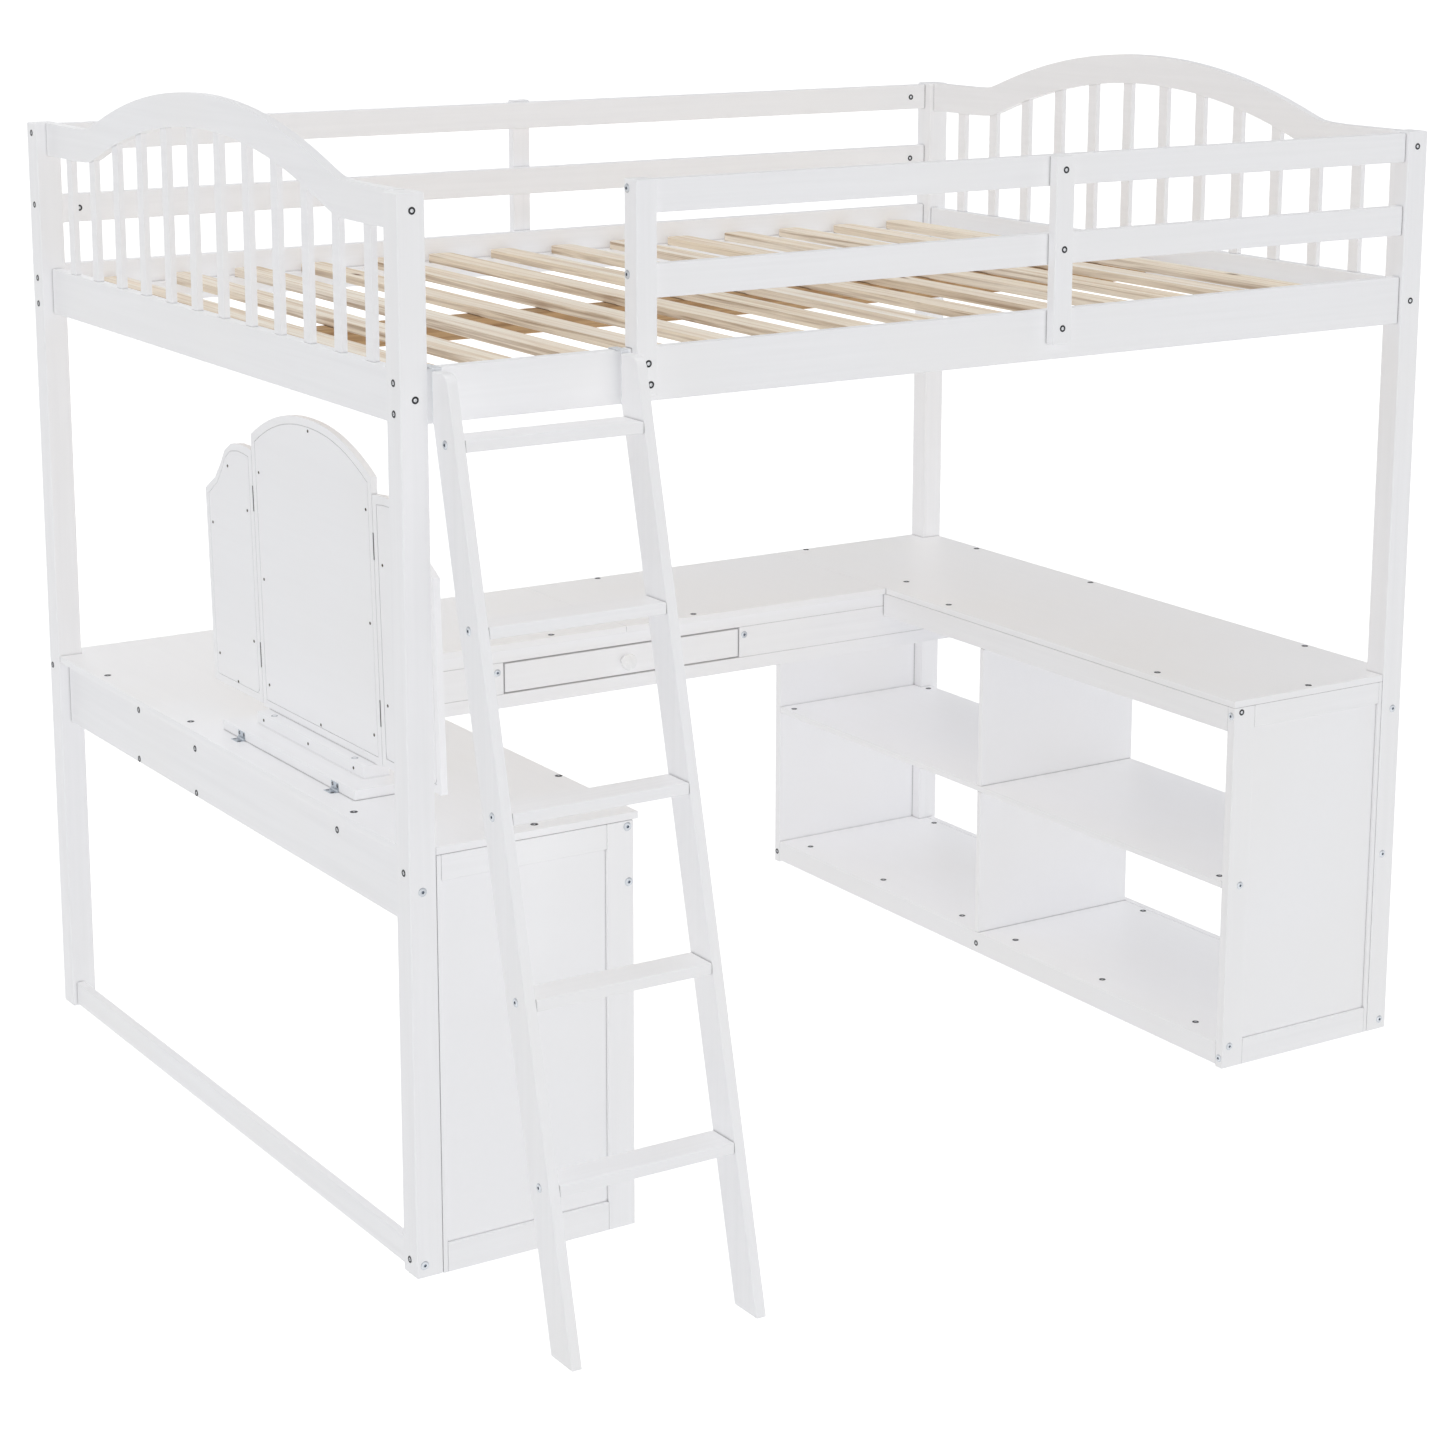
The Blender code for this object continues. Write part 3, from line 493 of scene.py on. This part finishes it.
# Rings of a turned head: radius and height in millimetres, shape, and the index of the material of the band
# between this ring and the one before it.
HEADS = {
    # ringed: the black outer ring is painted shade of a counterbore round the pale zinc head, and the black socket
    # is painted shade.
    "ringed": ([BLACK_STEEL_AND_SHADE, PALE_ZINC], [(5.6, -1.0, round_shape, 0), (5.6, 0.25, round_shape, 0),
                                   (5.1, 0.75, round_shape, 0), (3.1, 0.80, round_shape, 0),
                                   (2.7, 0.35, round_shape, 0), (2.5, 0.50, round_shape, 1),
                                   (1.3, 0.55, hexagon, 1), (1.2, -0.2, hexagon, 0)]),
    # zinc: the dark socket is painted shade.
    "zinc": ([ZINC, ZINC_SOCKET_SHADE], [(7.0, -1.0, round_shape, 0), (7.0, 0.2, round_shape, 0),
                                 (6.3, 0.9, round_shape, 0), (4.4, 1.3, round_shape, 0),
                                 (2.6, 1.35, hexagon, 0), (2.4, 0.1, hexagon, 1)]),
    # screw: the dark cross recess is painted shade.
    "screw": ([BLACK_STEEL_AND_SHADE, ZINC_SOCKET_SHADE], [(6.2, -1.0, round_shape, 0), (6.2, 0.10, round_shape, 0),
                                       (5.5, 0.35, round_shape, 0), (4.2, 0.40, cross, 0),
                                       (3.4, -0.5, cross, 1)]),
    "cap": ([ZINC], [(5.6, -1.0, round_shape, 0), (5.6, 0.15, round_shape, 0), (5.0, 0.5, round_shape, 0),
                     (3.9, 0.35, round_shape, 0), (3.5, -0.2, round_shape, 0)]),
    "sunk": ([BLACK_STEEL_AND_SHADE], [(3.0, -0.8, round_shape, 0), (3.0, 0.03, round_shape, 0),
                           (1.6, 0.06, cross, 0), (1.2, -0.4, cross, 0)]),
    # pin: the black cross recess is painted shade.
    "pin": ([BRONZED, BLACK_STEEL_AND_SHADE], [(2.6, -0.8, round_shape, 0), (2.6, 0.10, round_shape, 0),
                                   (1.9, 0.55, round_shape, 0), (1.3, 0.60, cross, 0), (0.9, 0.0, cross, 1)]),
}


def add_head(bm, place, normal, rings):
    """A turned head whose foot is sunk a little into the surface at place."""
    turn = normal.to_track_quat("Z", "Y")
    loops = []
    for radius, height, shape, _ in rings:
        loop = []
        for step in range(SIDES):
            angle = math.tau * step / SIDES
            reach = radius * shape(angle) / 1000
            loop.append(bm.verts.new(place + turn @ Vector((reach * math.cos(angle), reach * math.sin(angle),
                                                            height / 1000))))
        loops.append(loop)
    for (low, high), ring in zip(zip(loops, loops[1:]), rings[1:]):
        for step in range(SIDES):
            after = (step + 1) % SIDES
            bm.faces.new((low[step], low[after], high[after], high[step])).material_index = ring[3]
    bm.faces.new(list(reversed(loops[0])))
    bm.faces.new(loops[-1]).material_index = rings[-1][3]


def heads(name, kind, body, places):
    """All the heads of one kind on one body: places are ((x, y, z) in bed millimetres, normal)."""
    materials, rings = HEADS[kind]
    bm = bmesh.new()
    for place, normal in places:
        add_head(bm, place if isinstance(place, Vector) else bed(*place), normal, rings)
    mesh_piece = link(name, bm, materials, body)
    for face in mesh_piece.data.polygons:
        face.use_smooth = True
    mesh_piece.data.set_sharp_from_angle(angle=math.radians(35))
    return mesh_piece


DESK_TOP, MIDDLE_SHELF_TOP, BOTTOM_BOARD_TOP = 676, 344, 46


def build_fasteners():
    """The frame's bolts, and the screws seen on the desktops and shelves."""
    rows = [((x, 0, z), FRONT) for x, z in ((24, 1619), (24, 1348), (1976, 1619), (1976, 1350))]
    rows += [((0, y, z), LEFT) for y, z in ((21, 1372), (21, 1327), (19, 640), (24, 25), (1417, 1627),
                                            (1417, 1500), (1417, 1369), (1418, 1323), (1426, 654))]
    rows += [((2000, y, z), RIGHT) for y, z in ((21, 1372), (21, 1327), (19, 640), (24, 25), (1417, 1627),
                                                (1417, 1500), (1417, 1369), (1418, 1323), (1426, 654))]
    rows += [((x, 1440, z), BACK) for x in (24, 1976) for z in (1619, 1348, 612, 21)]
    rows += [((1190.5, -13, z), FRONT) for z in (1619, 1491, 1363)]
    rows += [((1000, 1453, z), BACK) for z in (1619, 1491, 1363)]
    rows += [((x, -9, z), FRONT) for x, z in ((409, 1370), (413, 1338))]
    rows += [((19, y, z), LEFT) for y, z in ((1068, 647), (1073, 557), (825, 635), (825, 557), (281, 635))]
    rows += [((1981, y, z), RIGHT) for y, z in ((1068, 647), (1073, 557), (825, 635), (825, 557), (281, 635))]
    rows += [((x, 1413, z), FRONT) for x in (82, 1918) for z in (1617, 1490, 1350)]
    rows += [((1605, y, z), LEFT) for y, z in ((725, 23), (1430, 22), (1430, 648))]
    rows += [((1621, 2, 655), FRONT)]
    heads("bolts_ringed", "ringed", "bed", rows)
    rows = [((x, 0, z), FRONT) for x, z in ((21, 612), (13, 21), (1980, 611), (1972, 339), (1984, 19),
                                            (374, 655), (376, 566))]
    rows += [((389, 18, z), LEFT) for z in (1630, 1502)]
    rows += [((x, 2, z), FRONT) for x, z in ((1632, 338), (1621, 40))]
    rows += [((1605, 11, z), LEFT) for z in (648, 18)]
    rows += [((x, 1052, z), FRONT) for x, z in ((723.7, 620), (1272, 622))]
    heads("bolts_zinc", "zinc", "bed", rows)
    rows = [((x, y, DESK_TOP), UP) for x, y in (
        (23.5, 1218), (23.5, 850), (24, 231), (387, 234), (226, 27), (844, 1428), (1162, 1428), (844, 1060),
        (1160, 1060), (1674, 1430), (1674, 1069), (1625, 860), (1985, 1246), (1985, 866), (1625, 233),
        (1985, 238), (1792, 20))]
    rows += [((1641, y, BOTTOM_BOARD_TOP), UP) for y in (1356, 1089, 819, 646, 381, 116)]
    rows += [((1965, y, BOTTOM_BOARD_TOP), UP) for y in (1353, 649)]
    rows += [((x, y, MIDDLE_SHELF_TOP), UP) for x, y in ((1621, 1392), (1962, 1378), (1626, 49))]
    heads("desk_screws", "screw", "bed", rows)


def build_hooks():
    """The bent steel strips that hang the ladder on the rail, thinner than the room that the CAD keeps for them."""
    sheet, room, lip = 0.0016, 0.003, 0.025
    for side in ("left", "right"):
        low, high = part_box("ladder_hook_" + side)
        top, inner = high.z - room, high.y - room
        outline = [(low.y, low.z), (low.y + sheet, low.z), (low.y + sheet, top), (inner, top), (inner, top - lip),
                   (inner + sheet, top - lip), (inner + sheet, top + sheet), (low.y, top + sheet)]
        bm = bmesh.new()
        ends = [[bm.verts.new((x, y, z)) for y, z in outline] for x in (low.x, high.x)]
        bm.faces.new(ends[0])
        bm.faces.new(list(reversed(ends[1])))
        for here in range(len(outline)):
            after = (here + 1) % len(outline)
            bm.faces.new((ends[0][here], ends[0][after], ends[1][after], ends[1][here]))
        strip = link("ladder_hook_strip_" + side, bm, [PALE_ZINC], "ladder")
        soften(strip, 0.0006, dissolve=False)
        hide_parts("ladder_hook_" + side)


def build_ladder_fasteners():
    """Bolts through the stiles into the rungs."""
    rows = []
    for rung in range(1, 6):
        low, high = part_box("ladder_rung_%d" % rung)
        centre = (low + high) / 2
        for stile, normal, side in (("ladder_stile_left", LEFT, 0), ("ladder_stile_right", RIGHT, 1)):
            rows.append((Vector((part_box(stile)[side].x, centre.y, centre.z)), normal))
    heads("ladder_bolts", "zinc", "ladder", rows)


LEAN = math.radians(1.2)
MIRROR_FOOT = (112.0, 714.3)


def on_leaf(y, up, out):
    """A point on the leaning mirrors: across, up from their foot, and out from their back, in millimetres."""
    return bed(MIRROR_FOOT[0] - up * math.sin(LEAN) - out * math.cos(LEAN), y,
               MIRROR_FOOT[1] + up * math.cos(LEAN) - out * math.sin(LEAN))


def add_leaf_sheet(bm, outline, near, far):
    """A sheet parallel to the mirrors' backs, between two distances out from them."""
    front = [bm.verts.new(on_leaf(y, up, far)) for y, up in outline]
    rear = [bm.verts.new(on_leaf(y, up, near)) for y, up in outline]
    bm.faces.new(front)
    bm.faces.new(list(reversed(rear)))
    for index in range(len(outline)):
        after = (index + 1) % len(outline)
        bm.faces.new((front[index], rear[index], rear[after], front[after]))


def inset(outline, border):
    """Move an outline's points towards its middle, by the border along y and along z."""
    ys, zs = [a for a, _ in outline], [b for _, b in outline]
    y_mid, y_half = (min(ys) + max(ys)) / 2, (max(ys) - min(ys)) / 2
    z_mid, z_half = (min(zs) + max(zs)) / 2, (max(zs) - min(zs)) / 2
    return [(y_mid + (a - y_mid) * (y_half - border) / y_half, z_mid + (b - z_mid) * (z_half - border) / z_half)
            for a, b in outline]


def centre_outline():
    """The centre mirror's outline, (across, up) in millimetres: a flat foot under a long arch."""
    arch = []
    for step in range(25):
        share = step / 24
        arch.append((307 + share * 440, 463.7 + 58 * (1 - abs(2 * share - 1) ** 2.2)))
    return [(747, 0), (307, 0)] + arch


def wing_outline(inner, outer):
    """A wing's outline: its top falls in an S from the centre mirror to its outer edge."""
    shape = [(0.0, 0.965), (0.12, 0.995), (0.25, 1.0), (0.42, 0.95), (0.55, 0.80), (0.66, 0.52), (0.78, 0.26),
             (0.90, 0.12), (1.0, 0.0)]
    top = [(inner + share * (outer - inner), 341.7 + lift * 98) for share, lift in shape]
    foot, corner = 4.0, 12.0
    side = 1 if outer > inner else -1
    bottom = []
    for middle, start in ((outer - side * corner, 0), (inner + side * corner, 90)):
        for step in range(5):
            angle = math.radians(start + 22.5 * step)
            bottom.append((middle + side * corner * math.cos(angle), foot + corner - corner * math.sin(angle)))
    return top + bottom


def build_mirror_backs():
    """Thin backing boards let into the mirrors' backs with a hairline groove round them, and their pins."""
    leaves = {
        "mirror": ("mirror_centre", centre_outline(),
                   [(526, 502), (722, 403), (721, 223), (720, 42), (329, 409), (330, 228), (332, 47), (526, 18)]),
        "mirror_wing_left": ("mirror_wing_left", wing_outline(748.5, 944.5),
                             [(847, 394), (775, 330), (920, 285), (774, 106), (919, 55), (847, 20)]),
        "mirror_wing_right": ("mirror_wing_right", wing_outline(305.5, 109.5),
                              [(207, 394), (279, 330), (134, 285), (280, 106), (135, 55), (207, 20)]),
    }
    recess, groove, thick = 13.0, 1.1, 1.3
    lean_out = Vector((-math.cos(LEAN), 0, -math.sin(LEAN)))
    for body, (name, outline, pins) in leaves.items():
        bm = bmesh.new()
        add_leaf_sheet(bm, inset(outline, recess + groove), -1.5, thick - 1.5)
        piece = link(name + "_backing", bm, [BOARD_PAINT], body)
        soften(piece, 0.0003, dissolve=False)
        heads(name + "_pins", "pin", body, [(on_leaf(y, up, thick - 1.5), lean_out) for y, up in pins])


def add_rod(bm, start, end, radius, sides=16):
    """A round bar between two points, its ends slightly domed."""
    axis = (end - start).normalized()
    turn = axis.to_track_quat("Z", "Y")
    length = (end - start).length
    loops = []
    for along, share in ((0, 0.72), (0.12 * radius, 0.94), (0.3 * radius, 1), (length - 0.3 * radius, 1),
                         (length - 0.12 * radius, 0.94), (length, 0.72)):
        loops.append([bm.verts.new(start + turn @ Vector((radius * share * math.cos(math.tau * step / sides),
                                                          radius * share * math.sin(math.tau * step / sides),
                                                          along))) for step in range(sides)])
    for low, high in zip(loops, loops[1:]):
        for step in range(sides):
            after = (step + 1) % sides
            bm.faces.new((low[step], low[after], high[after], high[step]))
    bm.faces.new(list(reversed(loops[0])))
    bm.faces.new(loops[-1])


def build_mirror_fittings():
    """Hinges between the mirrors and under the base board, and the screws of the base; the black hinge plates
    between the mirrors partly paint the shade of the slots there.
    """
    bm = bmesh.new()
    half_wide, half_tall = 1.3, 21.5
    for y in (748.0, 306.0):
        left, right = y - half_wide, y + half_wide
        for up in (88.0, 355.0):
            low, high = up - half_tall, up + half_tall
            add_leaf_sheet(bm, [(left, low), (right, low), (right, high), (left, high)], -1.2, 0.45)
    # Black plates over the joints: hinge leaves, and partly painted shade of the slots between the mirrors.
    plates = link("mirror_hinge_plates_and_slot_shade", bm, [BLACK_STEEL_AND_SHADE], "mirror")
    soften(plates, 0.0002, dissolve=False)

    knuckles, base_leaves, desk_leaves = bmesh.new(), bmesh.new(), bmesh.new()
    leaf_screws, desk_screws = [], []
    proud, half_leaf, pitch, half_knuckle, radius = 0.12, 13.5, 9.2, 4.4, 0.0031
    axle = DESK_TOP + 0.2
    base_back = (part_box("mirror_base")[0].x - CORNER.x) * 1000
    for y in (701.0, 350.0):
        for part in (-1, 0, 1):
            middle = y + part * pitch
            add_rod(knuckles, bed(base_back, middle - half_knuckle, axle),
                    bed(base_back, middle + half_knuckle, axle), radius)
        low, high = y - half_leaf, y + half_leaf
        add_block(base_leaves, bed(base_back - proud, low, DESK_TOP + 1.0),
                  bed(base_back + 0.5, high, DESK_TOP + 14.5))
        add_block(desk_leaves, bed(base_back - 14.5, low, DESK_TOP - 0.5),
                  bed(base_back - 1.0, high, DESK_TOP + proud))
        for offset in (-8.5, 8.5):
            leaf_screws.append(((base_back - proud, y + offset, DESK_TOP + 9.5), LEFT))
            desk_screws.append(((base_back - 9.0, y + offset, DESK_TOP + proud), UP))
    for name, mesh, body, material in (("mirror_knuckles", knuckles, "bed", BRIGHT_ZINC),
                                       ("mirror_base_leaves", base_leaves, "mirror", BRIGHT_ZINC),
                                       ("mirror_desk_leaves", desk_leaves, "bed", BRIGHT_ZINC)):
        soften(link(name, mesh, [material], body), 0.0002, dissolve=False)
    plinth_back, plinth_top, pin_height = 90.0, 714.0, 703.0
    heads("mirror_leaf_screws", "sunk", "mirror", leaf_screws)
    heads("mirror_desk_screws", "sunk", "bed", desk_screws)
    heads("mirror_plinth_pins", "pin", "mirror", [((plinth_back, y, pin_height), LEFT) for y in (700, 530, 365)])
    heads("mirror_plinth_caps", "cap", "mirror", [((100, y, plinth_top), UP) for y in (679, 380)])


build_stage()
build_slats()
build_back_apron()
build_front_panel("left", (45.3, 385.0), (53.0, 338.0), (0.0, 18.0))
build_front_panel("right", (1605.0, 1954.7), (1652.0, 1947.0), (2.0, 20.0))
build_fasteners()
build_hooks()
build_ladder_fasteners()
build_mirror_backs()
build_mirror_fittings()
